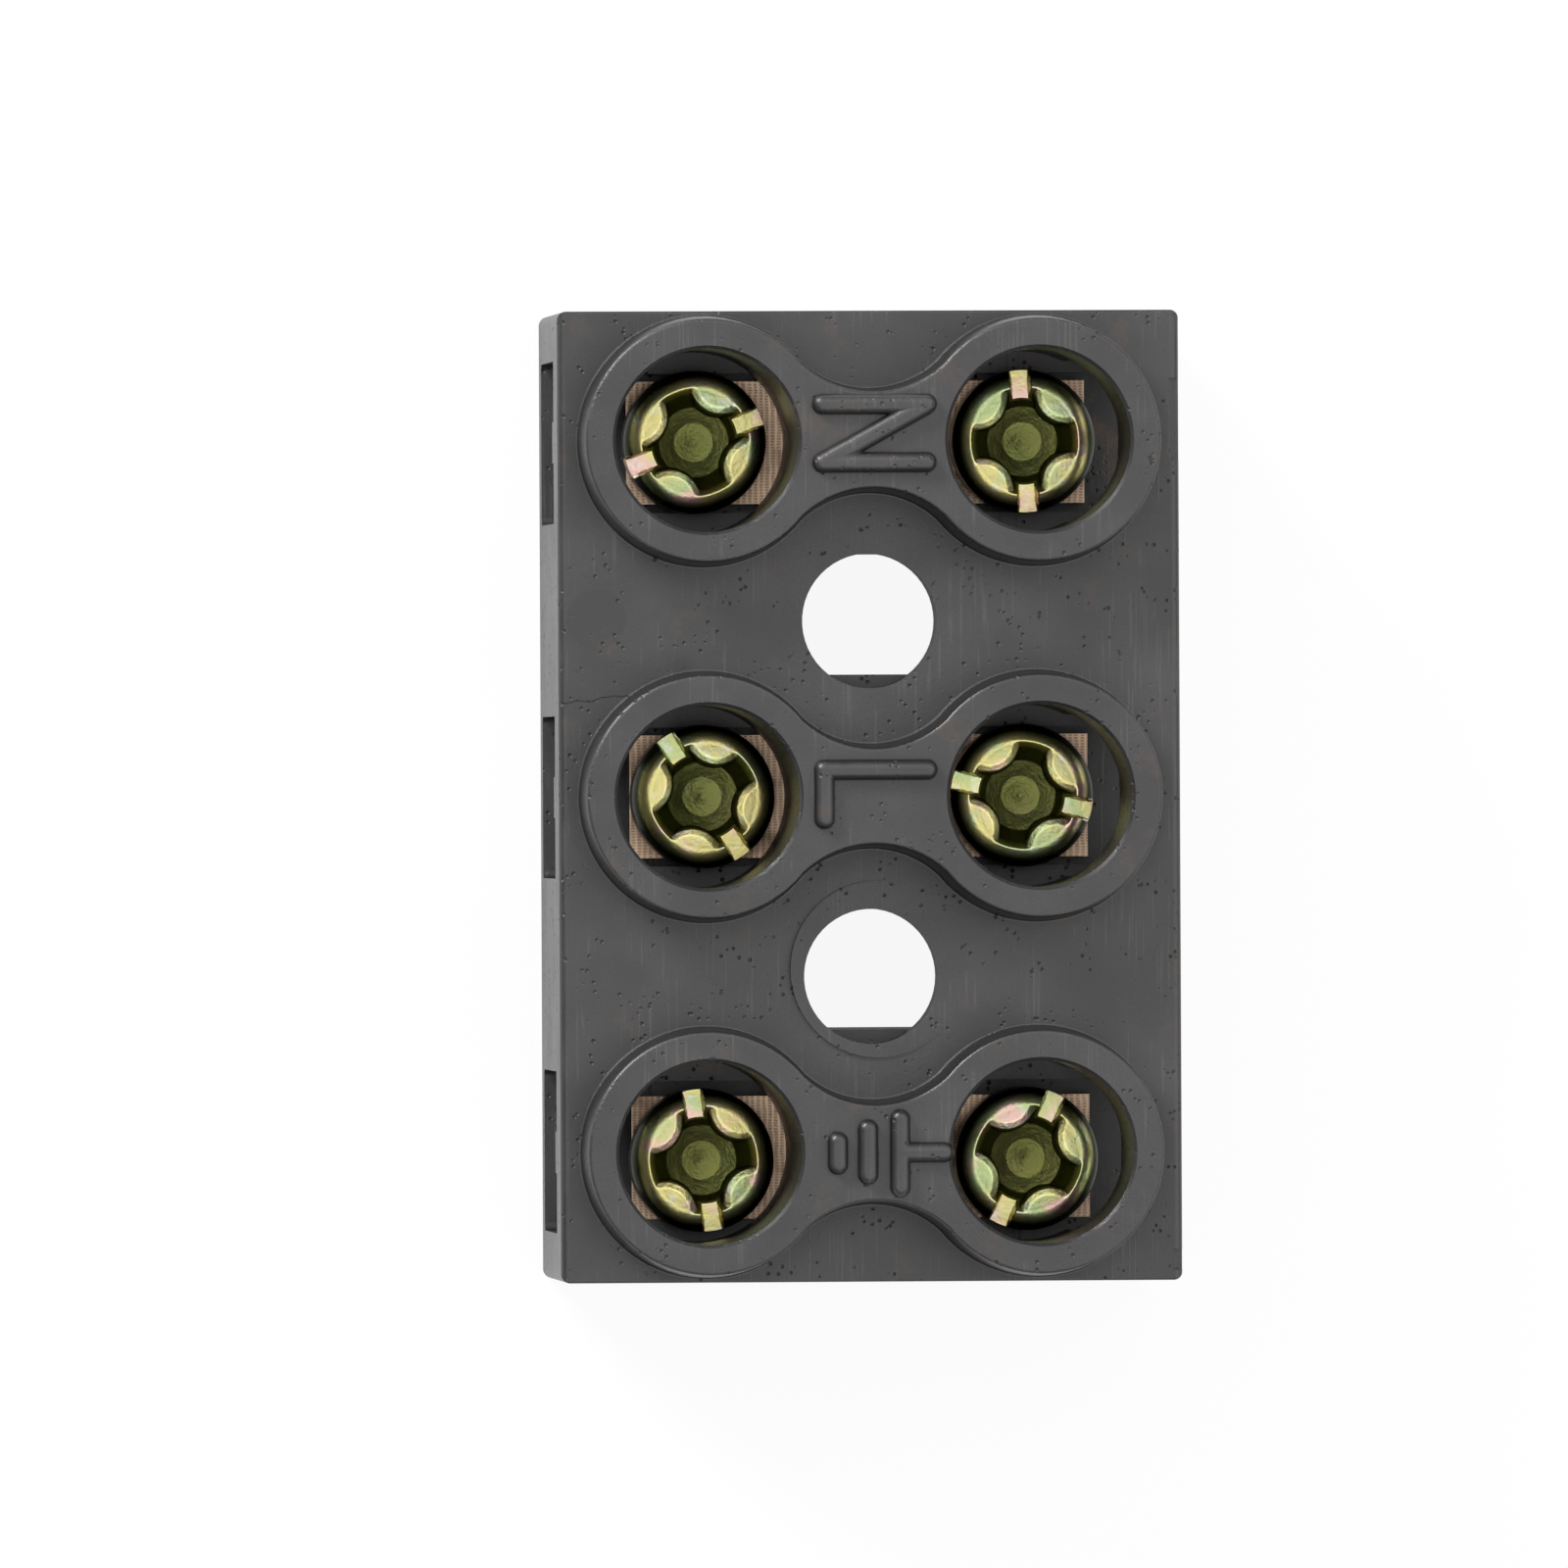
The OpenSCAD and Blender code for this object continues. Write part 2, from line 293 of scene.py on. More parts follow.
@dataclass(frozen=True)
class Phenolic:
    """Black filled phenolic: greyish sheen, fine pits, rub marks, brown filler, and
    painted shade on steep walls.

    Attributes:
        black: Colour of the resin skin.
        grey: Colour where the skin is rubbed.
        brown: Colour of the filler where the skin is thin.
        pit: Colour in the pits.
        wall: Colour of the painted shade that darkens steep walls.
        line: Colour in the crack.
        blot: Colour of the stain.
        gloss: Roughness of the untouched skin.
        face: Height of the top face, in millimetres.
        disc_at: Middle and radius of the ejector's disc, in millimetres.
        stain_at: Middle and radius of the stain, in millimetres.
        crack_at: The crack's Y at X = 0, its slope, and the X that it ends at.
        hole_rows: Y of the two fixing holes, in millimetres.
    """

    black: Colour = (0.020, 0.020, 0.021)
    grey: Colour = (0.046, 0.045, 0.046)
    brown: Colour = (0.070, 0.045, 0.031)
    pit: Colour = (0.008, 0.008, 0.008)
    wall: Colour = (0.005, 0.005, 0.005)
    line: Colour = (0.006, 0.006, 0.006)
    blot: Colour = (0.010, 0.010, 0.010)
    gloss: float = 0.34
    face: float = 14.0
    disc_at: tuple[float, float, float] = (-13.3, 8.66, 1.43)
    stain_at: tuple[float, float, float] = (-9.2, 6.4, 0.6)
    crack_at: tuple[float, float, float] = (5.9, 0.06, -9.9)
    hole_rows: tuple[float, float] = (8.52, -8.76)

    def make(self) -> bpy.types.Material:
        """Builds the material on object coordinates."""
        material = bpy.data.materials.new("black_phenolic")
        material.use_nodes = True
        bench = Bench(material.node_tree)
        place = bench.place()
        height = bench.axis(place, 2)

        grain = bench.noise(place, 9000, 3.0, 0.6)
        cloud = bench.noise(place, 260, 3.0, 0.55)
        patch = bench.noise(place, 110, 2.0, 0.5).step(0.46, 0.66)
        pit_field = bench.cells(place, 2600).step(0.30, 0.12)
        pits = pit_field * bench.noise(place, 700, 2.0).step(0.50, 0.62)

        rubs = None
        for turn, seed in ((14, 0.00), (72, 0.02), (-38, 0.05)):
            line = bench.stretch(place, (1.0, 0.035, 1.0), turn, (seed, 0, 0))
            streak = bench.noise(line, 5200, 1.0).step(0.66, 0.74)
            rubs = streak if rubs is None else rubs.most(streak)
        rubs = rubs * cloud.step(0.40, 0.62)

        def above(low: float, high: float) -> Signal:
            """A step between two heights over the top face, in millimetres."""
            return height.step((self.face + low) * MM, (self.face + high) * MM)

        raised = above(0.6, 1.0)
        leather = bench.noise(place, 3600, 2.0, 0.6, 0.8) * patch * raised
        filler = bench.noise(place, 420, 4.0, 0.7).step(0.56, 0.70)
        hidden = above(-0.1, -1.4)

        disc, crack, stain = self.marks(bench, place, grain)
        face = above(0.3, 0.1) * above(-0.2, -0.05)

        tone = cloud * 0.5 + grain * 0.35 + rubs * 0.35 - disc * face * 0.22
        colour = bench.mix(tone.step(0.25, 0.80), self.black, self.grey)
        colour = bench.mix(filler * (0.25 + 0.55 * hidden), colour, self.brown)
        colour = bench.mix(pits * 0.8, colour, self.pit)
        # Painted shade: walls of the rings, wells and marks are darkened towards near
        # black by their steepness alone.
        normal = bench.node("ShaderNodeNewGeometry").outputs["Normal"]
        steep = bench.axis(normal, 2).size().step(0.80, 0.35)
        colour = bench.mix(steep * 0.85, colour, self.wall)
        colour = bench.mix(crack * face * 0.9, colour, self.line)
        colour = bench.mix(stain * face * 0.6, colour, self.blot)

        relief = grain * 0.30 + leather * 1.6 + cloud * 0.5 + rubs * 0.25 - pits * 2.0
        relief = relief + self.rough_skin(bench, place) * face * 1.5
        relief = relief - crack * face * 2.0
        shader = bench.node(
            "ShaderNodeBsdfPrincipled",
            None,
            {
                "Base Color": colour,
                "Roughness": self.gloss + cloud * 0.10 + rubs * 0.10 + pits * 0.3,
                "IOR": 1.55,
                "Normal": bench.bump(relief, 0.02 * MM),
            },
        )
        bench.node("ShaderNodeOutputMaterial", None, {0: shader.outputs[0]})
        return material

    def marks(
        self, bench: Bench, place: bpy.types.NodeSocket, grain: Signal
    ) -> tuple[Signal, Signal, Signal]:
        """Marks on the top face: an ejector's disc, a crack and a stain.

        The disc and the stain are smooth steps of the distance from a spot.
        The crack is a thin band about a slanting line, bent by noise.

        Args:
            bench: The material's tree.
            place: The object coordinates.
            grain: Fine noise that breaks up the stain.

        Returns:
            The three masks, 1 where the mark is.
        """
        x, y = bench.axis(place, 0), bench.axis(place, 1)

        def near(spot: tuple[float, float, float], soft: float) -> Signal:
            """A round mask about a spot, in millimetres."""
            spot_x, spot_y, radius = spot
            square = (x - spot_x * MM) ** 2.0 + (y - spot_y * MM) ** 2.0
            return (square**0.5).step((radius + soft) * MM, (radius - soft) * MM)

        disc = near(self.disc_at, 0.06)
        stain = near(self.stain_at, 0.5) * grain.step(0.35, 0.55)
        bend = bench.noise(place, 700, 3.0, 0.6) * (0.7 * MM)
        start, slope, end = self.crack_at
        away = (y - (start * MM) - x * slope + bend).size()
        crack = away.step(0.045 * MM, 0.015 * MM)
        crack = crack * x.step(end * MM, (end - 0.5) * MM)
        return disc, crack, stain

    def rough_skin(self, bench: Bench, place: bpy.types.NodeSocket) -> Signal:
        """Leathery relief of the skin close round the two fixing holes."""
        x, y = bench.axis(place, 0), bench.axis(place, 1)
        skin = None
        for hole_y in self.hole_rows:
            square = x**2.0 + (y - hole_y * MM) ** 2.0
            ring = (square**0.5).step(6.5 * MM, 3.6 * MM)
            skin = ring if skin is None else skin.most(ring)
        return skin * bench.noise(place, 2600, 3.0, 0.6, 1.2)


@dataclass(frozen=True)
class RolledCopper:
    """Copper-coloured strip with fine hatching along and across it.

    Attributes:
        bright: Colour of the rubbed high lines.
        dull: Colour between the lines.
        stain: Colour of the tarnish.
        pitches: Distances between the lines across and along, in metres.
    """

    bright: Colour = (0.98, 0.74, 0.54)
    dull: Colour = (0.62, 0.40, 0.26)
    stain: Colour = (0.24, 0.14, 0.08)
    pitches: tuple[float, float] = (0.29 * MM, 0.14 * MM)

    def make(self) -> bpy.types.Material:
        """Builds the material on object coordinates."""
        material = bpy.data.materials.new("rolled_copper")
        material.use_nodes = True
        bench = Bench(material.node_tree)
        place = bench.place()
        waver = bench.noise(place, 900, 2.0)
        lines = []
        for direction, pitch in zip(("X", "Y"), self.pitches):
            wave = bench.node(
                "ShaderNodeTexWave",
                {"wave_type": "BANDS", "bands_direction": direction},
                {
                    "Vector": place,
                    "Scale": math.pi / (10.0 * pitch),
                    "Distortion": 2.2,
                    "Detail": 2.0,
                    "Detail Scale": 1.2,
                },
            )
            lines.append(Signal(bench, wave.outputs["Fac"]))
        hatch = lines[0].most(lines[1]) * (0.5 + 0.5 * waver)
        tarnish = bench.noise(place, 340, 3.0, 0.6).step(0.50, 0.75)
        colour = bench.mix(hatch.step(0.15, 0.75), self.dull, self.bright)
        colour = bench.mix(tarnish * 0.55, colour, self.stain)
        shader = bench.node(
            "ShaderNodeBsdfPrincipled",
            None,
            {
                "Base Color": colour,
                "Metallic": 1.0,
                "Roughness": 0.36 + 0.18 * waver + 0.2 * tarnish,
                "Normal": bench.bump(hatch, 0.012 * MM),
            },
        )
        bench.node("ShaderNodeOutputMaterial", None, {0: shader.outputs[0]})
        return material


@dataclass(frozen=True)
class YellowZinc:
    """Yellow passivated zinc plate with a green, pink and blue lustre.

    Attributes:
        yellow: Main colour of the passivation.
        green: Colour of its thinner patches.
        pink: Colour of its thicker patches.
        pale: Colour where the passivation is rubbed thin.
        film: Colour of the painted shade deep in the recess.
        black: Colour of the painted shade far down the shoulder.
    """

    yellow: Colour = (0.80, 0.72, 0.30)
    green: Colour = (0.52, 0.62, 0.30)
    pink: Colour = (0.86, 0.58, 0.50)
    pale: Colour = (0.82, 0.86, 0.78)
    film: Colour = (0.17, 0.185, 0.045)
    black: Colour = (0.020, 0.022, 0.014)

    def make(self) -> bpy.types.Material:
        """Builds the material on object coordinates."""
        material = bpy.data.materials.new("yellow_zinc")
        material.use_nodes = True
        bench = Bench(material.node_tree)
        place = bench.place()
        film = bench.noise(place, 300, 2.0, 0.5, 0.6)
        drift = bench.noise(bench.stretch(place, shift=(0.4, 0.1, 0.2)), 420, 2.0)
        rub = bench.noise(place, 1500, 3.0, 0.6).step(0.52, 0.70)
        colour = bench.mix(film.step(0.36, 0.56), self.green, self.yellow)
        colour = bench.mix(drift.step(0.52, 0.68), colour, self.pink)
        colour = bench.mix(rub * 0.45, colour, self.pale)
        # Painted shade: the screw's depth layer turns the recess dark olive and the
        # shoulder black.
        layer = bench.node("ShaderNodeAttribute", {"attribute_name": "painted_shade"})
        painted_shade = Signal(bench, layer.outputs["Fac"])
        colour = bench.mix(painted_shade.least(1.0) * 0.94, colour, self.film)
        colour = bench.mix(painted_shade.step(0.7, 1.7), colour, self.black)
        speck = bench.noise(place, 7000, 2.0)
        relief = speck * 0.5 + bench.noise(place, 1900, 2.0)
        shader = bench.node(
            "ShaderNodeBsdfPrincipled",
            None,
            {
                "Base Color": colour,
                "Metallic": 1.0,
                "Roughness": 0.20 + 0.14 * film + 0.08 * speck,
                "Normal": bench.bump(relief, 0.022 * MM),
            },
        )
        bench.node("ShaderNodeOutputMaterial", None, {0: shader.outputs[0]})
        return material


@dataclass(frozen=True)
class PaleFloor:
    """White paper that shows as a white ground and keeps a light shadow.

    Attributes:
        paper: Colour of the paper.
        own_light: Share that the camera sees as plain white.
        mirrored: Share that reflections see as plain white.
    """

    paper: Colour = (0.82, 0.82, 0.82)
    own_light: float = 0.92
    mirrored: float = 0.30

    def make(self) -> bpy.types.Material:
        """Builds the floor's material."""
        material = bpy.data.materials.new("pale_paper")
        material.use_nodes = True
        bench = Bench(material.node_tree)
        rays = bench.node("ShaderNodeLightPath")
        seen = Signal(bench, rays.outputs["Is Camera Ray"]) * self.own_light
        for kind in ("Is Glossy Ray", "Is Transmission Ray"):
            seen = seen.most(Signal(bench, rays.outputs[kind]) * self.mirrored)
        paper = bench.node(
            "ShaderNodeBsdfDiffuse", None, {"Color": (*self.paper, 1.0)}
        )
        white = bench.node("ShaderNodeEmission", None, {"Strength": 1.0})
        both = bench.node(
            "ShaderNodeMixShader",
            None,
            {0: seen, 1: paper.outputs[0], 2: white.outputs[0]},
        )
        bench.node("ShaderNodeOutputMaterial", None, {0: both.outputs[0]})
        return material


# --------------------------------------------------------------------------
# Surfaces on grids
# --------------------------------------------------------------------------


def smooth_least(a: np.ndarray, b: np.ndarray, width: float) -> np.ndarray:
    """The smaller of two heights, blended over a width.

    Formula: least(a, b) - h * h / (4 width), with h = width - |a - b| cut at
    zero.
    """
    blend = np.maximum(width - np.abs(a - b), 0.0)
    return np.minimum(a, b) - blend * blend / (4.0 * width)


def smooth_most(a: np.ndarray, b: np.ndarray, width: float) -> np.ndarray:
    """The larger of two heights, blended over a width."""
    return -smooth_least(-a, -b, width)


def smooth_step(x: np.ndarray) -> np.ndarray:
    """A step from 0 at 0 to 1 at 1: 3 x^2 - 2 x^3, with x cut to that span."""
    x = np.clip(x, 0.0, 1.0)
    return x * x * (3.0 - 2.0 * x)


def add_mesh(
    name: str,
    points: np.ndarray,
    faces: np.ndarray,
    material: bpy.types.Material,
    layers: dict[str, np.ndarray] | None = None,
) -> bpy.types.Object:
    """Makes a smooth-shaded object from points and quads or triangles.

    Args:
        name: The piece's name.
        points: N by 3 array of points in metres.
        faces: M by 4 array of point numbers. A triangle repeats its last one.
        material: The piece's finish.
        layers: Named values for the finish to read, one for each point.

    Returns:
        The new object, at the origin.
    """
    mesh = bpy.data.meshes.new(name)
    rows = [tuple(dict.fromkeys(row)) for row in faces.tolist()]
    mesh.from_pydata(points.tolist(), [], [row for row in rows if len(row) > 2])
    mesh.update()
    mesh.shade_smooth()
    mesh.materials.append(material)
    for layer, values in (layers or {}).items():
        data = mesh.attributes.new(layer, "FLOAT", "POINT").data
        data.foreach_set("value", values.astype(np.float32))
    piece = bpy.data.objects.new(name, mesh)
    bpy.context.scene.collection.objects.link(piece)
    return piece


def turned_faces(rows: int, around: int) -> np.ndarray:
    """Quads of a closed surface of revolution with a point at each end.

    The points are first the start pole, then rows rings of around points,
    then the end pole. The profile runs from the top down, so faces point out.
    """
    step = np.arange(around)
    ahead = (step + 1) % around
    ring = 1 + np.arange(rows - 1)[:, None] * around
    body = np.stack(
        [ring + step, ring + around + step, ring + around + ahead, ring + ahead],
        axis=-1,
    ).reshape(-1, 4)
    last = 1 + (rows - 1) * around
    end = 1 + rows * around
    top = np.stack([step * 0, 1 + step, 1 + ahead, 1 + ahead], axis=-1)
    tip = step * 0 + end
    foot = np.stack([last + ahead, last + step, tip, tip], axis=-1)
    return np.concatenate([top, body, foot])


# --------------------------------------------------------------------------
# The clamp screws
# --------------------------------------------------------------------------


@dataclass
class ClampScrew:
    """A pan-head screw with a combined cross recess and slot, cold formed.

    Lengths are millimetres and are measured from the underside of the head.

    Attributes:
        pole: The pole that it clamps.
        side: The end of the bar that it stands in.
        slot_turn: Angle of the slot from +X, in degrees.
        side_height: Top of the head's upright side.
        land_top_radius: Where the dome ends at the lands.
        wing_top_radius: Where the dome ends at the wings and the slot.
        dome_rise: Fall of the dome at dome_reach from the middle.
        recess_radius: Edge of the recess at the top.
        recess_foot_radius: Foot of its steep wall.
        recess_floor_radius: Edge of the cone in its middle.
        wing_depth: Depth at the foot of the steep wall.
        floor_step: Further fall to the cone's edge.
        cone_depth: Further fall to the middle.
        land_distance: Distance of a land's centre from the middle.
        land_radius: Radius of a land.
        wall_slope: Rise of the steep walls for one step aside.
        slot_foot: Radius past which the slot is free of painted shade.
        collar: How far the plain neck stands over the thread's root.
        around: Points in one turn.
    """

    pole: Pole
    side: Side
    slot_turn: float
    head_radius: float = 3.5
    head_height: float = 2.6
    side_height: float = 1.55
    land_top_radius: float = 2.72
    wing_top_radius: float = 2.36
    dome_rise: float = 0.10
    dome_reach: float = 2.6
    recess_radius: float = 2.70
    recess_foot_radius: float = 1.72
    recess_floor_radius: float = 0.95
    wing_depth: float = 1.60
    floor_step: float = 0.28
    cone_depth: float = 0.20
    land_distance: float = 3.18
    land_radius: float = 1.55
    bevel_width: float = 0.36
    bevel_drop: float = 0.15
    wall_slope: float = 11.0
    slot_width: float = 1.0
    slot_depth: float = 0.95
    slot_foot: float = 2.02
    thread_radius: float = 2.0
    thread_root: float = 1.62
    thread_pitch: float = 0.7
    screw_length: float = 4.3
    tip_radius: float = 1.45
    collar: float = 0.08
    around: int = 320

    @property
    def node(self) -> str:
        """Name of the node that this screw stands for."""
        return f"screw_{self.pole.value}_{self.side.value}"

    def head_surface(self, radius: np.ndarray, angle: np.ndarray) -> np.ndarray:
        """Height of the head's top at a polar grid, in millimetres.

        The dome falls with the square of the radius as far as the shoulder,
        which is a quarter ellipse down to the head's side and starts further
        in beside the wings. The recess is a steep cone over a shallow one,
        seen only outside four round lands, whose edges have a flat bevel and
        then a steep wall. The slot is a channel of constant depth.
        """
        quarter = np.cos(2.0 * (angle - math.radians(45.0))) ** 2
        shoulder = (
            self.wing_top_radius
            + (self.land_top_radius - self.wing_top_radius) * quarter ** 0.6
        )
        crown = self.head_height - self.dome_rise * (radius / self.dome_reach) ** 2
        past = np.clip((radius - shoulder) / (self.head_radius - shoulder), 0.0, 1.0)
        drop = 1.0 - np.sqrt(1.0 - past * past)
        dome = crown - (crown - self.side_height) * drop

        steep = (self.recess_radius - radius) * (
            self.wing_depth / (self.recess_radius - self.recess_foot_radius)
        )
        shallow = self.wing_depth + (self.recess_foot_radius - radius) * (
            self.floor_step / (self.recess_foot_radius - self.recess_floor_radius)
        )
        cone = self.wing_depth + self.floor_step + self.cone_depth * (
            1.0 - radius / self.recess_floor_radius
        )
        cone = np.where(radius > self.recess_floor_radius, np.inf, cone)
        floor = self.head_height - np.minimum(steep, np.minimum(shallow, cone))

        x = radius * np.cos(angle)
        y = radius * np.sin(angle)
        far = self.land_distance / math.sqrt(2.0)
        off_land = np.hypot(np.abs(x) - far, np.abs(y) - far) - self.land_radius
        bevel = crown - np.maximum(off_land + self.bevel_width, 0.0) * (
            self.bevel_drop / self.bevel_width
        )
        wall = crown - self.bevel_drop - off_land * self.wall_slope
        land = smooth_least(bevel, wall, 0.06)
        formed = smooth_least(dome, smooth_most(floor, land, 0.10), 0.05)

        aside = np.abs(y) - self.slot_width / 2.0
        channel = smooth_most(
            np.full_like(x, self.head_height - self.slot_depth),
            dome + aside * self.wall_slope,
            0.06,
        )
        return smooth_least(formed, channel, 0.04)

    def painted_shade(
        self, radius: np.ndarray, angle: np.ndarray, height: np.ndarray
    ) -> np.ndarray:
        """Painted shade at each point: in the recess and off the shoulder.

        In the recess it follows the depth under the dome, apart from the open
        ends of the slot. Past the lands it follows the fall of the shoulder,
        up to 2, which stands for black.

        Args:
            radius: Radii of the points, in millimetres.
            angle: Their angles from the slot.
            height: Their heights over the underside of the head.

        Returns:
            The painted shade at each point, from 0 to 2.
        """
        sunk = self.head_height - height
        in_slot = (np.abs(radius * np.sin(angle)) < self.slot_width * 0.54) & (
            radius > self.slot_foot
        )
        recess = smooth_step((sunk - 0.30) / 0.35) * (radius < self.recess_radius)
        shoulder = 2.0 * smooth_step((sunk - 0.20) / 0.32)
        shoulder = shoulder * (radius >= self.recess_radius)
        return np.where(in_slot, 0.0, np.maximum(recess, shoulder))

    def profile(self) -> tuple[np.ndarray, np.ndarray]:
        """Outline of the screw below its shoulder.

        Returns:
            Radii and heights, from the head's edge to the tip. A radius of -1
            stands for the thread's own.
        """
        turns = np.arange(-0.35, -self.screw_length + 0.25, -self.thread_pitch / 14)
        head_rows = [
            (self.head_radius, 0.12),
            (self.head_radius - 0.12, 0.0),
            (self.thread_radius + 0.25, 0.0),
            (self.thread_root + self.collar, -0.2),
        ]
        thread_rows = [(-1.0, height) for height in turns]
        tip_rows = [
            (self.tip_radius, -self.screw_length + 0.08),
            (self.tip_radius - 0.2, -self.screw_length),
        ]
        rows = np.array(head_rows + thread_rows + tip_rows)
        return rows[:, 0], rows[:, 1]

    def build(self, finish: bpy.types.Material) -> bpy.types.Object:
        """Makes the screw in its place and lets it ride on its own body.

        The thread's radius follows a rounded triangle wave of the phase
        (height / pitch + angle / turn), which makes a right-hand helix. It
        fades out under the head and is cut down by a cone at the tip.

        Args:
            finish: The plating.

        Returns:
            The finished piece.
        """
        low, high = (np.array(corner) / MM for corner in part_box(self.node))
        centre = (low + high) / 2.0
        base = low[2] + self.screw_length

        angle = np.linspace(0.0, 2.0 * math.pi, self.around, endpoint=False)
        flat = np.linspace(0.0, self.wing_top_radius, 88)[1:]
        bend = np.linspace(0.0, 1.0, 27)[1:]
        rim = self.head_radius - self.wing_top_radius
        edge = self.wing_top_radius + rim * np.sin(bend * math.pi / 2.0)
        rings = np.concatenate([flat, edge])
        radius, around = np.meshgrid(rings, angle, indexing="ij")
        top = self.head_surface(radius, around)

        shank_r, shank_z = self.profile()
        phase = shank_z[:, None] / self.thread_pitch - angle[None, :] / (2.0 * math.pi)
        tooth = np.abs((phase % 1.0) - 0.5) * 2.0
        crest = self.thread_radius - self.thread_root
        thread = self.thread_root + crest * smooth_step((tooth - 0.12) / 0.76)
        fade = smooth_step((-shank_z[:, None] - 0.35) / 0.5)
        neck = self.thread_root + self.collar
        thread = neck + (thread - neck) * fade
        above_tip = shank_z[:, None] + self.screw_length
        thread = np.minimum(thread, self.tip_radius + above_tip)
        shank = np.where(shank_r[:, None] < 0.0, thread, shank_r[:, None])
        shank_height = np.repeat(shank_z[:, None], self.around, axis=1)

        all_r = np.concatenate([radius, shank])
        all_z = np.concatenate([top, shank_height])
        spin = angle + math.radians(self.slot_turn)
        points = np.stack(
            [all_r * np.cos(spin), all_r * np.sin(spin), all_z], axis=-1
        ).reshape(-1, 3)
        pole_top = self.head_surface(np.zeros((1, 1)), np.zeros((1, 1)))[0, 0]
        points = np.concatenate(
            [[[0.0, 0.0, pole_top]], points, [[0.0, 0.0, -self.screw_length]]]
        )
        points += np.array([centre[0], centre[1], base])
        # Painted shade, stronger where the surface sinks under the dome.
        painted_shade = self.painted_shade(all_r, np.broadcast_to(angle, all_r.shape), all_z)
        painted_shade = np.concatenate([[0.8], painted_shade.reshape(-1), [0.0]])

        piece = add_mesh(
            f"formed_{self.node}",
            points * MM,
            turned_faces(len(all_r), self.around),
            finish,
            {"painted_shade": painted_shade},
        )
        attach(piece, f"{self.pole.value}_{self.side.value}_screw")
        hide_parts(self.node)
        return piece


# --------------------------------------------------------------------------
# The block
# --------------------------------------------------------------------------

Stroke = tuple[float, float, float, float]


@dataclass
class FunctionMark:
    """A raised mark moulded on the neck of a pole: ridges along strokes.

    Attributes:
        pole: The pole that it stands on.
        strokes: Centre lines as (x1, y1, x2, y2) from the pole's middle, in
            millimetres.
        half_width: Half the width of a ridge at its foot.
        relief: Height of a ridge.
        fullness: How square a ridge is in section: 2 is round.
        sunk: Depth that the ridges' feet reach into the neck.
        spacing: Step of the grid.
    """

    pole: Pole
    strokes: tuple[Stroke, ...]
    half_width: float = 0.50
    relief: float = 0.6
    fullness: float = 2.4
    sunk: float = 0.12
    spacing: float = 0.03

    def distance(self, x: np.ndarray, y: np.ndarray) -> np.ndarray:
        """Distance from each point to the nearest stroke's centre line.

        For one stroke: the point is projected on the line, the share along it
        is cut to 0..1, and the distance to that spot is taken.
        """
        nearest = np.full_like(x, 1e9)
        for x1, y1, x2, y2 in self.strokes:
            along_x, along_y = x2 - x1, y2 - y1
            share = ((x - x1) * along_x + (y - y1) * along_y) / (
                along_x**2 + along_y**2
            )
            share = np.clip(share, 0.0, 1.0)
            gap = np.hypot(x - x1 - share * along_x, y - y1 - share * along_y)
            nearest = np.minimum(nearest, gap)
        return nearest

    def build(
        self, middle: tuple[float, float, float], finish: bpy.types.Material
    ) -> bpy.types.Object:
        """Makes the mark as one closed shell that is sunk a little in the neck.

        Formula: relief times (1 - (distance / half width)^n)^(1 / n), with n
        for the fullness, and down to the sunk depth outside the half width.

        Args:
            middle: The pole's middle on the top of its neck, in millimetres.
            finish: The block's phenolic.

        Returns:
            The finished piece.
        """
        ends = np.array(self.strokes).reshape(-1, 2)
        low = ends.min(axis=0) - self.half_width - 0.1
        high = ends.max(axis=0) + self.half_width + 0.1
        xs = np.arange(low[0], high[0], self.spacing)
        ys = np.arange(low[1], high[1], self.spacing)
        x, y = np.meshgrid(xs, ys, indexing="ij")
        gap = self.distance(x, y) / self.half_width
        inside = np.clip(1.0 - gap**self.fullness, 0.0, 1.0)
        inside = inside ** (1.0 / self.fullness)
        height = np.where(gap < 1.0, self.relief * inside, -self.sunk)

        near = gap < 1.0 + 1.5 * self.spacing / self.half_width
        quads = near[:-1, :-1] & near[1:, :-1] & near[1:, 1:] & near[:-1, 1:]
        count = x.size
        number = np.arange(count).reshape(x.shape)
        i, j = np.nonzero(quads)
        top = np.stack(
            [number[i, j], number[i + 1, j], number[i + 1, j + 1], number[i, j + 1]],
            axis=-1,
        )
        foot = top[:, ::-1] + count
        walls = self._walls(quads, number, count)
        under = np.full_like(x, -2 * self.sunk)
        sheets = [np.stack([x, y, z], axis=-1).reshape(-1, 3) for z in (height, under)]
        points = np.concatenate(sheets) + np.array(middle)
        faces = np.concatenate([top, foot, walls])
        used, faces = np.unique(faces, return_inverse=True)
        piece = add_mesh(
            f"{self.pole.value}_mark", points[used] * MM, faces.reshape(-1, 4), finish
        )
        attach(piece, BLOCK_BODY)
        return piece

    @staticmethod
    def _walls(quads: np.ndarray, number: np.ndarray, count: int) -> np.ndarray:
        """Upright quads along every open edge of the kept cells.

        Args:
            quads: Which cells of the grid are kept.
            number: Point numbers of the grid.
            count: How many points the upper grid has.

        Returns:
            The wall quads, facing outward.
        """
        padded = np.pad(quads, 1)
        walls = []
        for di, dj, a, b in (
            (-1, 0, (0, 1), (0, 0)),
            (1, 0, (1, 0), (1, 1)),
            (0, -1, (0, 0), (1, 0)),
            (0, 1, (1, 1), (0, 1)),
        ):
            beside = np.roll(padded, (-di, -dj), axis=(0, 1))[1:-1, 1:-1]
            i, j = np.nonzero(quads & ~beside)
            first = number[i + a[0], j + a[1]]
            second = number[i + b[0], j + b[1]]
            walls.append(
                np.stack([first, second, second + count, first + count], axis=-1)
            )
        return np.concatenate(walls)


